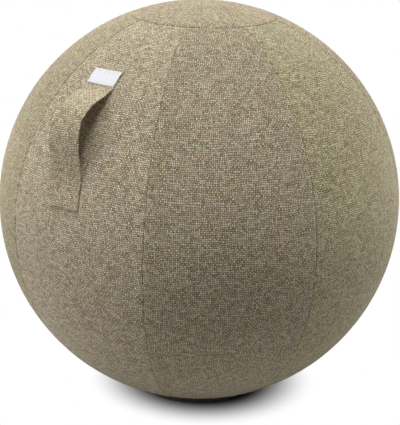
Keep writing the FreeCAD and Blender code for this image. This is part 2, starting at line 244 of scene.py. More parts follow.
def base_section(radius, depth):
    """Distance from the axis and height of points at a depth under the cover's base."""
    radius = np.asarray(radius, float)
    blend_angle = np.arcsin(np.clip((radius - flat_radius) / base_blend, 0, 1))
    ball_angle = np.arcsin(np.clip(radius / ball_radius, 0, 1))
    tangent = math.asin(flat_radius / (ball_radius - base_blend))
    on_ball = blend_angle > tangent
    angle = np.where(on_ball, ball_angle, blend_angle)
    height = np.where(
        on_ball,
        centre_height - ball_radius * np.cos(ball_angle),
        base_lift + base_blend * (1 - np.cos(blend_angle)),
    )
    return radius - depth * np.sin(angle), height + depth * np.cos(angle)


wave_seeds = np.random.default_rng(11)
waves = [
    (direction / np.linalg.norm(direction) * 2 * math.pi / length, phase)
    for direction, length, phase in zip(
        wave_seeds.normal(size=(wave_count, 3)),
        wave_seeds.uniform(*wave_lengths, wave_count),
        wave_seeds.uniform(0, 2 * math.pi, wave_count),
    )
]


def unevenness(points):
    """How far a filled cover stands proud at points."""
    total = sum(np.sin(points @ direction + phase) for direction, phase in waves)
    return bump_height * (0.5 + 0.5 * total / len(waves))


def pucker(along, distance):
    """The small waves that the thread draws into the cloth beside a seam."""
    wander = sum(share * np.sin(along / length + phase) for share, length, phase in pucker_wander)
    wave = np.sin(2 * math.pi * along / pucker_length + wander)
    return pucker_height * wave * np.exp(-distance / pucker_reach) * np.clip(distance / mm, 0, 1)


def seam_depth(distance):
    return np.interp(distance, seam_shape[:, 0], seam_shape[:, 1])


def hem_depth(distance):
    """Depth of the cover's inner face, which the folded allowance thickens beside a seam."""
    return np.interp(distance, [seam_allowance, seam_allowance + 0.4 * mm], [2 * fabric, fabric])


def spaced(length, count, start=True):
    """Distances along a length, closer together towards its sewn end, and start if it is sewn."""
    edge = seam_shape[:, 0]
    length = np.asarray(length, float)[..., None]
    low = edge[-1] if start else 0
    middle = low + (length - low - edge[-1]) * np.linspace(0, 1, count)
    parts = [middle]
    if start:
        shape = (*length.shape[:-1], len(edge) - 1)
        parts.insert(0, np.broadcast_to(edge[:-1], shape))
    parts.append(length - edge[-2::-1])
    return np.concatenate(parts, -1)


def path_run(points):
    """The distance along a path at each of its points."""
    steps = np.linalg.norm(np.diff(points, axis=0), axis=1)
    return np.concatenate([[0], np.cumsum(steps)])


# Meshes

def grid_quads(index):
    """The quads between the rows and columns of a grid of point numbers."""
    corners = [index[:-1, :-1], index[:-1, 1:], index[1:, 1:], index[1:, :-1]]
    return np.stack(corners, -1).reshape(-1, 4)


def turned_over(quads):
    """The same quads, facing the other way."""
    return quads[:, [0, 3, 2, 1]]


def numbered(rows, columns):
    """A grid of point numbers."""
    return np.arange(rows * columns).reshape(rows, columns)


def shell_quads(index, offset, wrap):
    """The quads of a closed skin over two layers of a grid, the second at an offset."""
    skin = grid_quads(index)
    quads = [skin, skin[:, ::-1] + offset]
    rims = [index[0], index[-1, ::-1]]
    if not wrap:
        rims += [index[::-1, 0], index[:, -1]]
    for rim in rims:
        quads.append(np.stack([rim[1:], rim[:-1], rim[:-1] + offset, rim[1:] + offset], -1))
    return np.concatenate(quads)


def merge_pole(work):
    """Joins the points that meet at a pole."""
    bmesh.ops.remove_doubles(work, verts=work.verts, dist=1e-7)
    bmesh.ops.delete(work, geom=[edge for edge in work.edges if edge.is_wire], context="EDGES")


def close_ends(work):
    """Fills the open ends of tubes."""
    rims = [edge for edge in work.edges if edge.is_boundary]
    bmesh.ops.holes_fill(work, edges=rims, sides=0)


def rework(mesh, change):
    """Changes a mesh's points and faces."""
    work = bmesh.new()
    work.from_mesh(mesh)
    change(work)
    work.to_mesh(mesh)
    work.free()


def mesh_piece(name, points, quads, cloth, pole=False):
    """A smooth object from points, quads and the cloth coordinates of their corners."""
    mesh = bpy.data.meshes.new(name)
    mesh.from_pydata(points.tolist(), [], quads.tolist())
    layer = mesh.uv_layers.new(name="cloth")
    layer.data.foreach_set("uv", cloth.astype(np.float32).ravel())
    if pole:
        rework(mesh, merge_pole)
    mesh.shade_smooth()
    piece = bpy.data.objects.new(name, mesh)
    bpy.context.scene.collection.objects.link(piece)
    return piece


def shell(name, outer, inner, cloth, wrap=False, pole=False):
    """A closed piece between two grids of points. Cloth coordinates are in metres."""
    index = numbered(*outer.shape[:2])
    count = index.size
    if wrap:
        index = np.hstack([index, index[:, :1]])
    points = np.concatenate([outer.reshape(-1, 3), inner.reshape(-1, 3)])
    quads = shell_quads(index, count, wrap)
    corners = cloth.reshape(-1, 2)[shell_quads(numbered(*index.shape), 0, wrap).ravel()]
    return mesh_piece(name, points, quads, corners, pole)


def tube(name, path, radius, sides):
    """A round tube along points. Its cloth coordinates run along it and round it."""
    way = np.gradient(path, axis=0)
    way /= np.linalg.norm(way, axis=1)[:, None]
    side = np.cross(way, [0.0, 0.0, 1.0])
    side /= np.linalg.norm(side, axis=1)[:, None]
    up = np.cross(side, way)
    turn = np.linspace(0, 2 * math.pi, sides, endpoint=False)[None, :, None]
    points = path[:, None] + radius * (np.cos(turn) * side[:, None] + np.sin(turn) * up[:, None])
    index = numbered(len(path), sides)
    index = np.hstack([index, index[:, :1]])
    across = np.linspace(0, 2 * math.pi * radius, sides + 1)
    cloth = np.stack(np.meshgrid(path_run(path), across, indexing="ij"), -1)
    corners = cloth.reshape(-1, 2)[grid_quads(numbered(*cloth.shape[:2])).ravel()]
    piece = mesh_piece(name, points.reshape(-1, 3), grid_quads(index), corners)
    rework(piece.data, close_ends)
    return piece


def stitches(name, places):
    """Raised stitches, each at a point, along a way and standing out of a face."""
    rings, sides = 9, 8
    t = np.linspace(-1, 1, rings)[:, None]
    turn = np.linspace(0, 2 * math.pi, sides, endpoint=False)[None, :]
    swell = np.sqrt(np.clip(1 - np.abs(t) ** 5, 0.02, 1))
    twist = 1 + 0.12 * np.cos(3 * turn + 5 * t)
    along = np.broadcast_to(t * stitch_length / 2, (rings, sides))
    across = stitch_width / 2 * swell * twist * np.cos(turn)
    out = stitch_height / 2 * (1.3 - 1.5 * t**2 + swell * twist * np.sin(turn))
    local = np.stack([along, across, out], -1).reshape(-1, 3)
    index = numbered(rings, sides)
    quads = turned_over(grid_quads(np.hstack([index, index[:, :1]])))
    points, faces = [], []
    for position, way, normal in places:
        axes = np.stack([way, np.cross(normal, way), normal])
        faces.append(quads + len(points) * rings * sides)
        points.append(local @ axes + position)
    cloth = np.stack([along, across], -1).reshape(-1, 2)[quads.ravel()]
    cloth = np.tile(cloth, (len(places), 1))
    piece = mesh_piece(name, np.concatenate(points), np.concatenate(faces), cloth)
    rework(piece.data, close_ends)
    return piece


def dress(piece, body, slot, material, *nodes):
    """Gives a piece its material and its body, and hides the CAD nodes it stands for. The slot is not
    used.
    """
    piece.data.materials.append(material)
    if body:
        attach(piece, body)
    if nodes:
        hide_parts(*nodes)
    return piece


# Materials

def add(tree, kind, values=None, **settings):
    """A node with its settings, and with its inputs set or linked."""
    node = tree.nodes.new("ShaderNode" + kind)
    for key, value in settings.items():
        setattr(node, key, value)
    for key, value in (values or {}).items():
        if isinstance(value, bpy.types.NodeSocket):
            tree.links.new(value, node.inputs[key])
        else:
            node.inputs[key].default_value = value
    return node


def calc(tree, operation, *values):
    return add(tree, "Math", dict(enumerate(values)), operation=operation).outputs[0]


def colour(red, green, blue):
    """A display colour from 0 to 255 as linear light."""
    light = [
        level / 255 / 12.92 if level <= 10 else ((level / 255 + 0.055) / 1.055) ** 2.4
        for level in (red, green, blue)
    ]
    return (*light, 1)


def ramp(tree, value, *stops):
    node = add(tree, "ValToRGB", {0: value})
    elements = node.color_ramp.elements
    while len(elements) < len(stops):
        elements.new(1)
    for element, (place, shade) in zip(elements, stops):
        element.position = place
        element.color = shade
    return node.outputs[0]


def mixed(tree, kind, share, first, second):
    node = add(tree, "Mix", {0: share, 6: first, 7: second}, data_type="RGBA", blend_type=kind)
    return node.outputs[2]


def grey(tree, value):
    return add(tree, "CombineColor", {0: value, 1: value, 2: value}).outputs[0]


def spread(tree, value, low, high, to_low, to_high):
    """A value limited to one range and moved to another."""
    ranges = {0: value, 1: low, 2: high, 3: to_low, 4: to_high}
    return add(tree, "MapRange", ranges).outputs[0]


def emboss(tree, shader, height, distance):
    """Gives a shader the relief of a height."""
    bump = add(tree, "Bump", {"Height": height, "Distance": distance, "Strength": 1.0})
    tree.links.new(bump.outputs[0], shader.inputs["Normal"])


def new_material(name, **sockets):
    """A material with its shader's plain sockets set."""
    material = bpy.data.materials.new(name)
    material.use_nodes = True
    shader = material.node_tree.nodes["Principled BSDF"]
    for key, value in sockets.items():
        shader.inputs[key.replace("_", " ")].default_value = value
    return material, material.node_tree, shader


def cloth_place(tree, scale):
    uv = add(tree, "UVMap", uv_map="cloth").outputs[0]
    return add(tree, "VectorMath", {0: uv, 1: scale}, operation="MULTIPLY").outputs[0]


def noise_at(tree, place, scale, detail=2.0, roughness=0.5):
    values = {"Vector": place, "Scale": scale, "Detail": detail, "Roughness": roughness}
    return add(tree, "TexNoise", values).outputs[0]


def segment_shade(tree, across, along, run, layer):
    """A random shade for each length of a yarn, wandering a little along it."""
    thread = calc(tree, "FLOOR", across)
    start = calc(tree, "MULTIPLY", thread, yarn_stagger)
    length = calc(tree, "FLOOR", calc(tree, "ADD", calc(tree, "DIVIDE", along, run), start))
    piece = add(tree, "CombineXYZ", {0: thread, 1: length, 2: layer}).outputs[0]
    shade = add(tree, "TexWhiteNoise", {"Vector": piece}, noise_dimensions="3D").outputs["Value"]
    apart = calc(tree, "MULTIPLY", thread, yarn_apart)
    line = add(tree, "CombineXYZ", {0: apart, 1: along, 2: layer}).outputs[0]
    wander = calc(tree, "SUBTRACT", noise_at(tree, line, 0.9, 2.0, 0.6), 0.5)
    return calc(tree, "ADD", shade, calc(tree, "MULTIPLY", wander, yarn_wander))


def rounded(tree, place, fall):
    """A hump over the middle of a yarn, from the square of the distance from it."""
    square = calc(tree, "MULTIPLY", place, place)
    return calc(tree, "SUBTRACT", 1.0, calc(tree, "MULTIPLY", square, fall))


def weave_material(name, pitch, warp, weft, depth, sheen, streak, loft, runs=(1.5, 3.1)):
    """Plain weave of melange yarns: each yarn's shade changes along it, light to dark.

    Warp and weft are the shades of the yarns, depth the painted shade between them, streak
    the strength of the slubs, and runs the pitches that a shade lasts along warp and weft.
    """
    material, tree, shader = new_material(
        name, Roughness=0.92, Diffuse_Roughness=0.8, Specular_IOR_Level=0.18,
        Sheen_Weight=sheen, Sheen_Roughness=0.45, Sheen_Tint=colour(255, 240, 214),
    )
    place = cloth_place(tree, (1 / pitch[0], 1 / pitch[1], 0))
    drift = add(tree, "TexNoise", {"Vector": place, "Scale": drift_scale, "Detail": 2.0}).outputs[1]
    drift = add(tree, "VectorMath", {0: drift, 1: (0.5, 0.5, 0.5)}, operation="SUBTRACT").outputs[0]
    drift = add(tree, "VectorMath", {0: drift, "Scale": drift_reach}, operation="SCALE").outputs[0]
    place = add(tree, "VectorMath", {0: place, 1: drift}, operation="ADD").outputs[0]
    axes = add(tree, "SeparateXYZ", {0: place})
    x, y = axes.outputs[0], axes.outputs[1]
    column, row = calc(tree, "FLOOR", x), calc(tree, "FLOOR", y)
    over = calc(tree, "FLOORED_MODULO", calc(tree, "ADD", column, row), 2.0)
    warp_yarn = ramp(tree, segment_shade(tree, x, y, runs[0], warp_layer), *warp)
    weft_yarn = ramp(tree, segment_shade(tree, y, x, runs[1], weft_layer), *weft)
    yarn = mixed(tree, "MIX", over, weft_yarn, warp_yarn)
    across_x = calc(tree, "SUBTRACT", calc(tree, "FRACT", x), 0.5)
    across_y = calc(tree, "SUBTRACT", calc(tree, "FRACT", y), 0.5)
    across = add(tree, "Mix", {0: over, 2: across_y, 3: across_x}).outputs[0]
    length = add(tree, "Mix", {0: over, 2: across_x, 3: across_y}).outputs[0]
    height = calc(tree, "MULTIPLY", rounded(tree, across, yarn_fall), rounded(tree, length, yarn_arch))
    # Painted shade: the colour darkens between the yarns, following their height
    shadow = calc(tree, "ADD", 1 - depth, calc(tree, "MULTIPLY", height, depth))
    base = mixed(tree, "MULTIPLY", 1.0, yarn, grey(tree, shadow))
    # Each panel's own tone, and for the strap its painted light
    tone_and_painted_light = add(tree, "ObjectInfo").outputs["Color"]
    base = mixed(tree, "MULTIPLY", 1.0, base, tone_and_painted_light)
    slubs = noise_at(tree, cloth_place(tree, slub_scale), 1.0, 3.0, 0.6)
    slubs = grey(tree, spread(tree, slubs, 0.3, 0.7, 1 - streak, 1 + streak))
    base = mixed(tree, "MULTIPLY", 1.0, base, slubs)
    tint = noise_at(tree, cloth_place(tree, tint_scale), 1.0, 2.0, 0.5)
    tint = ramp(tree, tint, (0.35, tint_warm), (0.65, tint_green))
    base = mixed(tree, "MULTIPLY", 1.0, base, tint)
    tree.links.new(base, shader.inputs["Base Color"])
    fibre = noise_at(tree, place, 5.0, 2.0, 0.6)
    relief = calc(tree, "ADD", height, calc(tree, "MULTIPLY", fibre, fibre_relief))
    emboss(tree, shader, relief, loft)
    return material


cover_cloth = weave_material(
    "cover_melange", (2.6 * mm, 3.1 * mm),
    (
        (0.0, colour(186, 178, 146)), (0.35, colour(216, 202, 177)),
        (0.75, colour(238, 227, 194)), (1.0, colour(250, 244, 226)),
    ),
    (
        (0.0, colour(154, 144, 112)), (0.35, colour(194, 177, 153)),
        (0.75, colour(218, 207, 174)), (1.0, colour(242, 233, 212)),
    ),
    0.97, 0.25, 0.05, 0.25 * mm, (1.2, 2.4),
)
base_cloth = weave_material(
    "coated_base_cloth", (0.9 * mm, 0.9 * mm),
    ((0.1, colour(44, 42, 40)), (0.9, colour(66, 63, 59))),
    ((0.1, colour(36, 34, 32)), (0.9, colour(56, 53, 50))),
    0.45, 0.05, 0.04, 0.08 * mm,
)
ring_cloth = weave_material(
    "ring_cloth", (0.9 * mm, 0.9 * mm),
    ((0.1, colour(168, 160, 146)), (0.9, colour(198, 190, 176))),
    ((0.1, colour(150, 142, 129)), (0.9, colour(182, 173, 159))),
    0.45, 0.15, 0.04, 0.1 * mm,
)
tape_cloth = weave_material(
    "zip_tape_twill", (0.6 * mm, 0.6 * mm),
    ((0.1, colour(32, 31, 30)), (0.9, colour(52, 50, 48))),
    ((0.1, colour(26, 25, 24)), (0.9, colour(44, 42, 40))),
    0.4, 0.1, 0.03, 0.06 * mm,
)


def sine_wave(tree, place, length):
    """A sine wave of a length in millimetres along a place in millimetres."""
    return calc(tree, "SINE", calc(tree, "MULTIPLY", place, 2 * math.pi / length))


def label_material():
    """White woven ribbon: fine ribs across it, with a little satin sheen."""
    material, tree, shader = new_material(
        "label_satin", Roughness=0.55, Specular_IOR_Level=0.3,
        Sheen_Weight=0.15, Sheen_Roughness=0.4,
    )
    place = cloth_place(tree, (1 / mm, 1 / mm, 0))
    axes = add(tree, "SeparateXYZ", {0: place})
    rib = sine_wave(tree, axes.outputs[1], label_rib)
    warp = sine_wave(tree, axes.outputs[0], label_warp)
    relief = calc(tree, "ADD", rib, calc(tree, "MULTIPLY", warp, 0.5))
    level = noise_at(tree, place, 0.35, 3.0, 0.6)
    shade = ramp(tree, level, (0.3, colour(208, 208, 213)), (0.7, colour(228, 228, 232)))
    # Painted shade: the ribbon's colour darkens in the hollows between its ribs
    ribs = grey(tree, spread(tree, relief, -1.5, 1.5, 0.9, 1.0))
    tree.links.new(mixed(tree, "MULTIPLY", 1.0, shade, ribs), shader.inputs["Base Color"])
    emboss(tree, shader, relief, 0.04 * mm)
    return material


def thread_material(name, low, high):
    """Twisted sewing thread."""
    material, tree, shader = new_material(
        name, Roughness=0.5, Specular_IOR_Level=0.35, Sheen_Weight=0.2,
    )
    place = cloth_place(tree, (1 / mm, 1 / mm, 0))
    axes = add(tree, "SeparateXYZ", {0: place})
    lean = calc(tree, "MULTIPLY", axes.outputs[1], thread_lean)
    twist = sine_wave(tree, calc(tree, "ADD", axes.outputs[0], lean), thread_twist)
    # Painted shade: the thread's colour runs from low in the twist's grooves to high on its crests
    level = spread(tree, twist, -1.0, 1.0, 0.0, 1.0)
    tree.links.new(ramp(tree, level, (0, low), (1, high)), shader.inputs["Base Color"])
    emboss(tree, shader, twist, 0.06 * mm)
    return material


def moulded_material(name, low, high, roughness, grain, speck, **sockets):
    """Moulded plastic, rubber or foam: a faint mottle with a fine grain."""
    material, tree, shader = new_material(name, **sockets)
    place = add(tree, "TexCoord").outputs["Object"]
    mottle = noise_at(tree, place, 35.0, 4.0, 0.6)
    tree.links.new(ramp(tree, mottle, (0.35, low), (0.65, high)), shader.inputs["Base Color"])
    fine = noise_at(tree, place, speck, 3.0, 0.7)
    level = spread(tree, mottle, 0.3, 0.7, roughness - 0.06, roughness + 0.08)
    tree.links.new(level, shader.inputs["Roughness"])
    emboss(tree, shader, fine, grain)
    return material


label_cloth = label_material()
cover_thread = thread_material("cover_thread", colour(120, 108, 88), colour(176, 162, 134))
label_thread = thread_material("label_thread", colour(205, 205, 210), colour(240, 240, 244))
base_thread = thread_material("base_thread", colour(40, 38, 36), colour(78, 74, 69))
coil_plastic = moulded_material(
    "zip_coil_nylon", colour(30, 29, 28), colour(44, 42, 40), 0.38, 0.02 * mm, 2500.0,
)
ball_plastic = moulded_material(
    "ball_vinyl", colour(92, 95, 98), colour(104, 107, 110), 0.42, 0.05 * mm, 900.0,
)
valve_plastic = moulded_material(
    "valve_plastic", colour(205, 204, 198), colour(222, 221, 215), 0.4, 0.03 * mm, 1500.0,
)
ring_foam = moulded_material(
    "ring_foam", colour(58, 58, 60), colour(84, 84, 86), 0.9, 0.3 * mm, 1400.0,
)
zip_metal = moulded_material(
    "zip_metal", colour(92, 88, 82), colour(128, 122, 112), 0.34, 0.015 * mm, 1800.0, Metallic=1.0,
)


# Cover

def cover_faces(bearing, latitude, depth, distance, puckers):
    """The two faces of a panel, from its seams' depth, distance and puckers at each point."""
    proud = unevenness(polar(bearing, latitude, ball_radius))
    outer = polar(bearing, latitude, ball_radius - depth + proud + puckers)
    inner_proud = proud * (distance > seam_allowance)
    inner = polar(bearing, latitude, ball_radius - hem_depth(distance) + inner_proud)
    return outer, inner


def gore_cover(index):
    length = math.radians(cap_seam - base_seam) * ball_radius - 2 * half_gap
    rise = spaced(length, 300)
    latitude = base_seam + arc_angle(half_gap) + np.degrees(rise / ball_radius)
    level = ball_radius * np.cos(np.radians(latitude))
    width = level * 2 * math.pi / gore_count - 2 * half_gap
    offset = spaced(width, 17)
    across = offset - width[:, None] / 2
    bearing = 360 / gore_count * index + np.degrees(across / level[:, None])
    side = np.minimum(offset, width[:, None] - offset)
    end = np.broadcast_to(np.minimum(rise, length - rise)[:, None], side.shape)
    latitude = np.broadcast_to(latitude[:, None], side.shape)
    up = np.radians(latitude) * ball_radius
    cloth = np.stack([across + gore_cut[0] * index, up + gore_cut[1] * index], -1)
    faces = cover_faces(
        bearing, latitude, np.maximum(seam_depth(side), seam_depth(end)), np.minimum(side, end),
        pucker(cloth[..., 1], side) + pucker(cloth[..., 0], end),
    )
    return shell(f"gore_cover_{index + 1}", *faces, cloth)


gore_area = ball_radius**2 * 2 * math.pi / gore_count
gore_area *= math.sin(math.radians(cap_seam)) - math.sin(math.radians(base_seam))
gore_flat = (
    ball_radius * 2 * math.pi / gore_count + 2 * seam_allowance,
    ball_radius * math.radians(cap_seam - base_seam) + 2 * seam_allowance,
)
gore_area += 2 * seam_allowance * (gore_flat[1] + gore_end)
for number in range(gore_count):
    gore = gore_cover(number)
    gore.color = (*gore_tints[number], 1)
    dress(gore, "ball", "cover_fabric", cover_cloth, f"gore_{number + 1}")


def cap_cover():
    length = ball_radius * math.radians(90 - cap_seam) - half_gap
    run = spaced(length, 48, start=False)
    bearing, run = np.meshgrid(np.linspace(0, -360, 193), run)
    latitude = 90 - np.degrees(run / ball_radius)
    grain = np.radians(bearing + cap_grain)
    cloth = np.stack([run * np.sin(grain), -run * np.cos(grain)], -1) + cap_cut_from
    end = length - run
    puckers = pucker(np.radians(bearing) * length, end)
    outer, inner = cover_faces(bearing, latitude, seam_depth(end), end, puckers)
    return shell("top_cap_cover", outer[:, :-1], inner[:, :-1], cloth, True, True)


cap = dress(cap_cover(), "ball", "cover_fabric", cover_cloth, "top_cap")
cap.color = (*cap_tint, 1)


# Base

def base_ring(name, radii, outer_depth, inner_depth, bearings=None):
    """A ring or disc of the base between depths, which may be a value for each radius."""
    wrap = bearings is None
    turns = np.linspace(0, 360, 289) if wrap else bearings
    shapes = []
    for depth in (outer_depth, inner_depth):
        radius, height = base_section(radii, depth)
        grid = around(turns[None, :], radius[:, None], height[:, None])
        shapes.append(grid[:, :-1] if wrap else grid)
    run = np.radians(turns)[None, :]
    cloth = np.stack([radii[:, None] * np.sin(run), -radii[:, None] * np.cos(run)], -1)
    return shell(name, *shapes, cloth, wrap, radii[0] == 0)


slot_outside = zip_radius + zip_slot / 2
slot_inside = zip_radius - zip_slot / 2
base_edge = ball_radius * math.cos(math.radians(base_seam))
panel_run = spaced(base_edge - half_gap - slot_outside, 18, start=False)
panel_edge = panel_run[-1] - panel_run
base_panel = base_ring(
    "base_panel_cloth", slot_outside + panel_run, seam_depth(panel_edge), hem_depth(panel_edge)
)
dress(base_panel, "ball", "base_fabric", base_cloth, "base_panel")


def folding(piece, slot, material, *nodes):
    """A piece of the base on the folding flap: it gets its material and no body, and its placing is
    baked into its points.
    """
    dress(piece, None, slot, material)
    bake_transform(piece)
    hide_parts(*nodes)
    return piece


flap_radii = np.concatenate([
    np.linspace(0, flap_bend, 20), np.linspace(flap_bend + mm, slot_inside, 20),
])
flap = base_ring("base_flap_cloth", flap_radii, 0, fabric)
folding(flap, "base_fabric", base_cloth, "flap_panel", "flap_hinge_panel")

tape_edge = zip_slot / 2 + tape_under
tape_inner = np.linspace(zip_radius - tape_edge, zip_radius - tape_from_middle, 9)
tape_outer = np.linspace(zip_radius + tape_from_middle, zip_radius + tape_edge, 9)
outer_tape = base_ring("zip_tape_fixed", tape_outer, tape_depth, tape_depth + tape)
dress(outer_tape, "ball", "zip_tape", tape_cloth, "zip_tape_outer")
flap_tape = base_ring("zip_tape_flap", tape_inner, tape_depth, tape_depth + tape)
folding(flap_tape, "zip_tape", tape_cloth, "zip_tape_inner", "zip_tape_end")


def zip_coil(name, side):
    """A row of the zip: one wire wound into flat loops that lie on the tape."""
    middle = zip_radius + side * (coil_near + coil_far) / 2
    reach = (coil_far - coil_near) / 2 - coil_wire
    loops = int(math.radians(360 - 2 * zip_end) * middle / coil_pitch)
    t = np.linspace(0, loops, loops * 14 + 1)
    phase = 2 * math.pi * t
    bearing = zip_end + (360 - 2 * zip_end) * t / loops
    radius = middle + side * reach * np.cos(phase)
    depth = coil_depth + coil_swing * np.sin(phase)
    return tube(name, around(bearing, *base_section(radius, depth)), coil_wire, 6)


dress(zip_coil("zip_coil_fixed", 1), "ball", "zip_coil", coil_plastic, "zip_coil_outer")
folding(zip_coil("zip_coil_flap", -1), "zip_coil", coil_plastic, "zip_coil_inner", "zip_coil_ends")

patch_run = np.concatenate([[0], np.linspace(0.15 * mm, patch_width - 0.15 * mm, 24), [patch_width]])
patch_rims = np.minimum(patch_run, patch_width - patch_run)
patch_fall = np.interp(patch_rims, [0, patch_rim], [patch_rim_fall, 0])
patch = base_ring(
    "zip_end_tab", zip_radius - patch_width / 2 + patch_run, patch_fall - patch_far,
    np.full(len(patch_run), -patch_near), np.linspace(-patch_half_turn, patch_half_turn, 40),
)
dress(patch, "ball", "base_fabric", base_cloth, "zip_end_patch")


def patch_stitch_places():
    """Stitches along both outer edges of the patch over the zip's ends."""
    places = []
    row = patch_width / 2 - patch_inset
    for bearing in patch_stitches:
        for radius in (zip_radius - row, zip_radius + row):
            at = around(bearing, *base_section(radius, -patch_far))
            normal = around(bearing, *base_section(radius, -2 * patch_far)) - at
            normal /= np.linalg.norm(normal)
            way = around(bearing + 90, 1.0, 0.0)
            places.append((at, way, normal))
    return places


dress(stitches("zip_end_thread", patch_stitch_places()), "ball", "sewing_thread", base_thread)


# Anti-roll ring

contact = math.degrees(math.asin(ring_radius / (ball_radius + ring_tube + ring_gap)))


def ring_sweep(name, section, gather):
    """A closed section swept round the axis. Gathers draw its bare tube in and out."""
    bearing = np.linspace(0, 360, 432, endpoint=False)
    sweep = np.radians(bearing)[:, None]
    wave = np.sin(61 * sweep + 1.3 * np.sin(7 * sweep))
    wave = wave + 0.6 * np.sin(97 * sweep + 2.1 * np.sin(5 * sweep))
    middle = np.array([ring_radius, ring_height])
    away = section - middle
    distance = np.linalg.norm(away, axis=1)
    share = gather * np.clip(1 - np.abs(distance - ring_tube) / (0.6 * ring_tube), 0, 1)
    radius = ring_radius + away[None, :, 0] * (1 + wave * share / distance)
    height = np.maximum(ring_height + away[None, :, 1] * (1 + wave * share / distance), 0)
    points = around(bearing[:, None], radius, height)
    index = numbered(*points.shape[:2])
    index = np.vstack([index, index[:1]])
    quads = turned_over(grid_quads(np.hstack([index, index[:, :1]])))
    along = np.radians(np.append(bearing, 360)) * ring_radius
    across = path_run(np.vstack([section, section[:1]]))
    cloth = np.stack(np.meshgrid(along, across, indexing="ij"), -1)
    corners = turned_over(grid_quads(numbered(*cloth.shape[:2])))
    return mesh_piece(name, points.reshape(-1, 3), quads, cloth.reshape(-1, 2)[corners.ravel()])


def ring_section():
    """The sleeve's outline in the section plane: the tube, and the flange sewn to the base."""
    reach = ball_radius + ring_gap
    free = contact - arc_angle(flange_reach)
    root = contact - arc_angle(flange_root)
    outline = []
    for radius, angles in ((reach + flange, (root, free)), (reach, (free, root))):
        for angle in np.radians(np.linspace(*angles, 9)):
            outline.append((radius * math.sin(angle), centre_height - radius * math.cos(angle)))
    outline = np.array(outline)
    middle = np.array([ring_radius, ring_height])
    first, last = outline[-1] - middle, outline[0] - middle
    start = math.atan2(first[1], first[0])
    end = math.atan2(last[1], last[0]) - 2 * math.pi
    turns = np.linspace(start, end, 42)
    tube_points = middle + ring_tube * np.stack([np.cos(turns), np.sin(turns)], -1)
    return np.concatenate([outline, tube_points[1:-1]])


ring_cover = ring_sweep("base_ring_cover", ring_section(), ring_gathers)
dress(ring_cover, "ball", "ring_fabric", ring_cloth, "base_ring_sleeve")
foam_turns = np.linspace(0, 2 * math.pi, 28, endpoint=False)[:, None]
foam_section = ring_core * np.hstack([np.cos(foam_turns), np.sin(foam_turns)])
foam = ring_sweep("base_ring_foam", foam_section + [ring_radius, ring_height], 0)
dress(foam, "ball", "ring_foam", ring_foam, "base_ring_core")


def ring_stitch_places():
    """Stitches through the sleeve's flange, near its free edge."""
    latitude = contact - arc_angle(flange_reach - stitch_inset) - 90
    places = []
    for bearing in np.arange(ring_stitches) * 360 / ring_stitches:
        at = polar(bearing, latitude, ball_radius + layer_gap + flange)
        normal = (at - ball_centre) / np.linalg.norm(at - ball_centre)
        places.append((at, around(bearing + 90, 1.0, 0.0), normal))
    return places


dress(
    stitches("base_ring_thread", ring_stitch_places()), "ball", "sewing_thread", base_thread,
    "base_ring_stitching",
)


# Inner ball

def inner_ball_skin():
    """The inflated ball, with the low moulded ribs that such balls have round them."""
    radii = np.concatenate([[valve_hole], np.linspace(valve_hole + 2 * mm, bladder_flat, 24)])
    latitude = np.concatenate([np.arange(-75.9, 89, 0.9), [90]])
    turns = np.linspace(0, 360, 193)
    shapes = []
    for depth in (bladder_depth, bladder_depth + bladder_wall):
        radius, height = base_section(radii, depth)
        base = around(turns[None, :-1], radius[:, None], height[:, None])
        rib = np.clip(np.cos(2 * math.pi * latitude / bladder_rib_pitch), 0, 1)
        rib *= np.abs(latitude) > bladder_ribs_from
        radius = ball_radius - depth - bladder_rib * (1 - rib)
        side = polar(turns[None, :-1], latitude[:, None], radius[:, None])
        shapes.append(np.concatenate([base, side]))
    run = np.concatenate([radii, np.radians(latitude + 90) * ball_radius])
    cloth = np.stack(np.meshgrid(run, np.radians(turns) * 0.1, indexing="ij"), -1)
    return shell("inner_ball_skin", *shapes, cloth, True, True)


ball_skin = dress(inner_ball_skin(), "ball", "ball_pvc", ball_plastic, "inner_ball")


# Carry handle

def arch_height(angle):
    """How far the strap stands off the cover at latitudes."""
    reach = np.where(angle > arch_peak, arch_top - arch_peak, arch_peak - arch_foot)
    share = np.clip(1 - np.abs(angle - arch_peak) / reach, 0, 1)
    return arch_rise * np.sin(math.pi / 2 * share) ** arch_power


def strap_section(angle, out):
    """Distance from the axis and height of strap points, before the handle leans."""
    def inner_face(at):
        radius = ball_radius + layer_gap + arch_height(at)
        turn = np.radians(at)
        return np.stack([radius * np.cos(turn), radius * np.sin(turn)], -1)

    along = inner_face(angle + 0.05) - inner_face(angle - 0.05)
    along /= np.linalg.norm(along, axis=-1)[..., None]
    normal = np.stack([along[..., 1], -along[..., 0]], -1)
    return inner_face(angle) + normal * out[..., None]


def handle_turn():
    middle = math.radians((handle_top + handle_bottom) / 2)
    axis = Vector((0, -math.cos(middle), math.sin(middle)))
    lean = Matrix.Rotation(math.radians(handle_skew), 3, axis)
    return np.array(Matrix.Rotation(math.radians(handle_bearing), 3, "Z") @ lean)


handle_axes = handle_turn()


def on_handle(offset, section):
    """Points at offsets across the strap, from their distances from the axis and heights."""
    radius, height = section[..., 0], section[..., 1]
    local = np.stack([offset, -np.sqrt(radius**2 - offset**2), height], -1)
    return local @ handle_axes.T + ball_centre


def laid(offset, angle, middle=0.0, turn=0.0, shift=(0.0, 0.0)):
    """Offsets and latitudes of a strip's points once it is turned about a latitude and shifted."""
    rise = np.radians(angle - middle) * ball_radius
    spin = math.radians(turn)
    across = offset * math.cos(spin) - rise * math.sin(spin) + shift[0]
    along = offset * math.sin(spin) + rise * math.cos(spin) + shift[1]
    return across, middle + np.degrees(along / ball_radius)


quarter_steps = 1 - np.cos(np.linspace(0, math.pi / 2, 6))


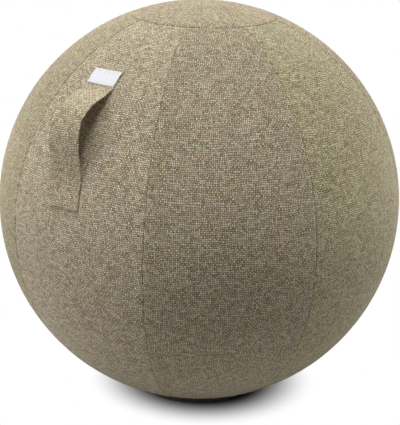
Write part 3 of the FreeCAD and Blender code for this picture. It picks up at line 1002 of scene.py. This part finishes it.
def band(name, angles, width, inner_out, outer_out, columns, cloth_shift, edge=0.9 * mm, **lay):
    """A flat strip over the handle's line with rounded edges, between two heights over it."""
    half = width / 2
    rim = edge * quarter_steps
    flat = np.linspace(-half + edge, half - edge, columns)
    offset = np.concatenate([-half + rim[:-1], flat, half - rim[-2::-1]])
    fall = np.clip((np.abs(offset) - (half - edge)) / edge, 0, 1)
    squeeze = 1 - np.sqrt(1 - np.minimum(fall, 0.985) ** 2)
    angle, offset = np.meshgrid(angles, offset, indexing="ij")
    middle = ((inner_out + outer_out) / 2)[:, None]
    swell = ((outer_out - inner_out) / 2)[:, None] * (1 - squeeze)
    cloth_offset = offset
    offset, angle = laid(offset, angle, **lay)
    outer = on_handle(offset, strap_section(angle, np.broadcast_to(middle + swell, angle.shape)))
    inner = on_handle(offset, strap_section(angle, np.broadcast_to(middle - swell, angle.shape)))
    straight = np.zeros(len(angles))
    run = path_run(on_handle(straight, strap_section(angles, straight)))
    cloth = np.stack([cloth_offset, np.broadcast_to(run[:, None], offset.shape)], -1) + cloth_shift
    return shell(name, outer, inner, cloth), run[-1]


def end_taper(angles, low, high, reach):
    """A thickness share that rounds off towards both ends of a strip."""
    distance = np.radians(np.minimum(angles - low, high - angles)) * ball_radius
    share = np.clip(distance / reach, 0, 1)
    return end_share + (1 - end_share) * np.sqrt(1 - (1 - share) ** 2)


def strip_angles(low, high, count):
    """Latitudes along a strip, closer together towards its ends."""
    reach = arc_angle(strap_edge)
    ends = reach * quarter_steps
    middle = np.linspace(low + reach, high - reach, count)
    return np.concatenate([low + ends[:-1], middle, high - ends[-2::-1]])


strap_angles = strip_angles(handle_bottom, handle_top, 150)
strap_taper = end_taper(strap_angles, handle_bottom, handle_top, strap_edge)
strap_half = handle_thickness / 2 * strap_taper
strap, strap_run = band(
    "handle_strap_cloth", strap_angles, handle_width,
    handle_thickness / 2 - strap_half, handle_thickness / 2 + strap_half, 22, strap_cut_from,
)
# Painted light: the strap's cloth is made lighter than the cover's
strap.color = (*strap_painted_light, 1)
dress(strap, "ball", "cover_fabric", cover_cloth, "handle_strap")

label_low = handle_top - arc_angle(label_height)
label_base = handle_thickness + label_gap
label_angles = strip_angles(label_low, handle_top, 22)
label_half = label_thickness / 2 * end_taper(label_angles, label_low, handle_top, label_edge)
label_lay = {"middle": (label_low + handle_top) / 2, "turn": label_turn, "shift": label_shift}
label_middle = label_base + label_thickness / 2
label, _ = band(
    "handle_label", label_angles, label_width,
    label_middle - label_half, label_middle + label_half, 22, 0.0, 0.5 * mm, **label_lay,
)
dress(label, "ball", "label_cloth", label_cloth, "label")


def handle_backing(name, low, high, node):
    margin = arc_angle(backing_margin)
    angles = strip_angles(low - margin, high + margin, 12)
    width = handle_width + 2 * backing_margin
    half = width / 2
    offset = np.linspace(-half, half, 16)
    angle, offset = np.meshgrid(angles, offset, indexing="ij")
    shapes = []
    for radius in (ball_radius - fabric - layer_gap, ball_radius - fabric - layer_gap - backing):
        turn = np.radians(angle)
        shapes.append(on_handle(offset, radius * np.stack([np.cos(turn), np.sin(turn)], -1)))
    cloth = np.stack([offset, np.radians(angle) * ball_radius], -1)
    piece = dress(shell(name, *shapes, cloth), "ball", "base_fabric", base_cloth, node)


handle_backing("handle_backing_high", arch_top, handle_top, "handle_backing_top")
handle_backing("handle_backing_low", handle_bottom, arch_foot, "handle_backing_bottom")


def strip_stitch_places(angles, out, width, **lay):
    """Rows of stitches across a strip at latitudes, on a face at a height over the cover."""
    radius = ball_radius + layer_gap + out
    count = int((width - 2 * stitch_inset) / stitch_pitch)
    places = []
    for angle in angles:
        for i in range(count):
            offset = (i - (count - 1) / 2) * stitch_pitch
            ends = []
            for step in (0, 0.1 * mm):
                across, turn = laid(offset + step, angle, **lay)
                turn = math.radians(turn)
                section = radius * np.array([math.cos(turn), math.sin(turn)])
                ends.append(on_handle(np.array(across), section))
            at, ahead = ends
            normal = (at - ball_centre) / np.linalg.norm(at - ball_centre)
            way = (ahead - at) / np.linalg.norm(ahead - at)
            places.append((at, way, normal))
    return places


inset = arc_angle(stitch_inset)
handle_rows = strip_stitch_places(
    (handle_bottom + inset, arch_foot - inset), handle_thickness, handle_width,
)
dress(
    stitches("handle_thread", handle_rows),
    "ball", "sewing_thread", cover_thread, "handle_stitching",
)
label_rows = strip_stitch_places(
    (label_low + inset, handle_top - inset), label_base + label_thickness, label_width, **label_lay,
)
dress(
    stitches("label_sewing", label_rows),
    "ball", "label_thread", label_thread, "label_stitching",
)

for node, material in (
    ("zip_stops", zip_metal), ("zip_slider", zip_metal), ("zip_pull", zip_metal),
    ("valve_seat", valve_plastic), ("valve_plug", valve_plastic),
):
    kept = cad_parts[node]
    kept.data.materials.clear()
    kept.data.materials.append(material)


# Stage

def seen_rays(tree):
    """One for the rays that show the background, and none for those that light the object."""
    rays = add(tree, "LightPath")
    seen = calc(tree, "MAXIMUM", rays.outputs["Is Camera Ray"], rays.outputs["Is Glossy Ray"])
    return calc(tree, "MAXIMUM", seen, rays.outputs["Is Transmission Ray"])


def floor_material():
    """Matt white that also shows white to the camera, away from a painted shadow round the ball's real
    one.
    """
    material, tree, shader = new_material("studio_floor", Roughness=0.9, Specular_IOR_Level=0.1)
    shader.inputs["Base Color"].default_value = (floor_shade, floor_shade, floor_shade, 1)
    spot = add(tree, "NewGeometry").outputs["Position"]
    turn = (0, 0, math.radians(view_bearing))
    spot = add(
        tree, "Mapping", {0: spot, 1: (*painted_shadow_centre, 0), 2: turn, 3: (painted_shadow_width, 1, 1000)},
        vector_type="TEXTURE",
    ).outputs[0]
    reach = add(tree, "VectorMath", {0: spot}, operation="LENGTH").outputs["Value"]
    # The painted shadow's fade, from near to far round a set spot
    away = add(
        tree, "MapRange", {0: reach, 1: painted_shadow_near, 2: painted_shadow_far, 3: 0.0, 4: 1.0},
        interpolation_type="SMOOTHSTEP",
    )
    share = calc(tree, "MULTIPLY", seen_rays(tree), away.outputs[0])
    glow = add(tree, "Emission", {0: (1, 1, 1, 1), 1: 1.0}).outputs[0]
    mix = add(tree, "MixShader", {0: share, 1: shader.outputs[0], 2: glow}).outputs[0]
    tree.links.new(mix, tree.nodes["Material Output"].inputs[0])
    return material


floor_mesh = bpy.data.meshes.new("floor")
corners = [
    (x * floor_half, y * floor_half, -floor_drop) for x, y in ((-1, -1), (1, -1), (1, 1), (-1, 1))
]
floor_mesh.from_pydata(corners, [], [(0, 1, 2, 3)])
floor_mesh.materials.append(floor_material())
floor = bpy.data.objects.new("floor", floor_mesh)
bpy.context.scene.collection.objects.link(floor)

world = bpy.data.worlds.new("studio")
world.use_nodes = True
bpy.context.scene.world = world
sky = world.node_tree
level = spread(sky, seen_rays(sky), 0.0, 1.0, sky_level, 1.0)
sky.links.new(level, sky.nodes["Background"].inputs["Strength"])
sky.nodes["Background"].inputs["Color"].default_value = (1, 1, 1, 1)

# Lamps: bearing, latitude, and the level each gives a white face turned to it
lamps = {
    "top": (view_bearing, 86, 0.80),
    "left": (view_bearing - 91, 22, 0.15),
    "high_left": (view_bearing - 81, 44, 0.56),
    "right": (view_bearing + 108, 44, 0.55),
}
for name, (bearing, latitude, level) in lamps.items():
    lamp = bpy.data.objects.new(f"{name}_lamp", bpy.data.lights.new(f"{name}_lamp", "SUN"))
    lamp.data.energy = level * math.pi
    lamp.data.angle = math.radians(lamp_spread)
    place = Vector(polar(bearing, latitude, lamp_distance))
    aim = (place - Vector(ball_centre)).to_track_quat("Z", "Y").to_matrix().to_4x4()
    lamp.matrix_world = Matrix.Translation(place) @ aim
    bpy.context.scene.collection.objects.link(lamp)


def set_camera():
    """The photograph's viewpoint: the ball's centre lies a little off the picture's middle."""
    eye = Vector(polar(view_bearing, view_latitude, view_distance))
    ahead = (Vector(ball_centre) - eye).normalized()
    right = ahead.cross(Vector((0, 0, 1))).normalized()
    up = right.cross(ahead)
    roll = math.radians(view_roll)
    right = math.cos(roll) * right + math.sin(roll) * up
    up = right.cross(ahead)
    ahead = ahead + right * view_shift[0] / view_pixels
    ahead = (ahead - up * view_shift[1] / view_pixels).normalized()
    right = (right - ahead * right.dot(ahead)).normalized()
    up = right.cross(ahead)
    camera = bpy.data.objects.new("camera", bpy.data.cameras.new("camera"))
    camera.data.lens = view_lens
    camera.data.sensor_width = sensor_width
    camera.matrix_world = Matrix.Translation(eye) @ Matrix((right, up, -ahead)).transposed().to_4x4()
    bpy.context.scene.collection.objects.link(camera)
    bpy.context.scene.camera = camera


set_camera()
bpy.context.scene.view_settings.view_transform = "Standard"
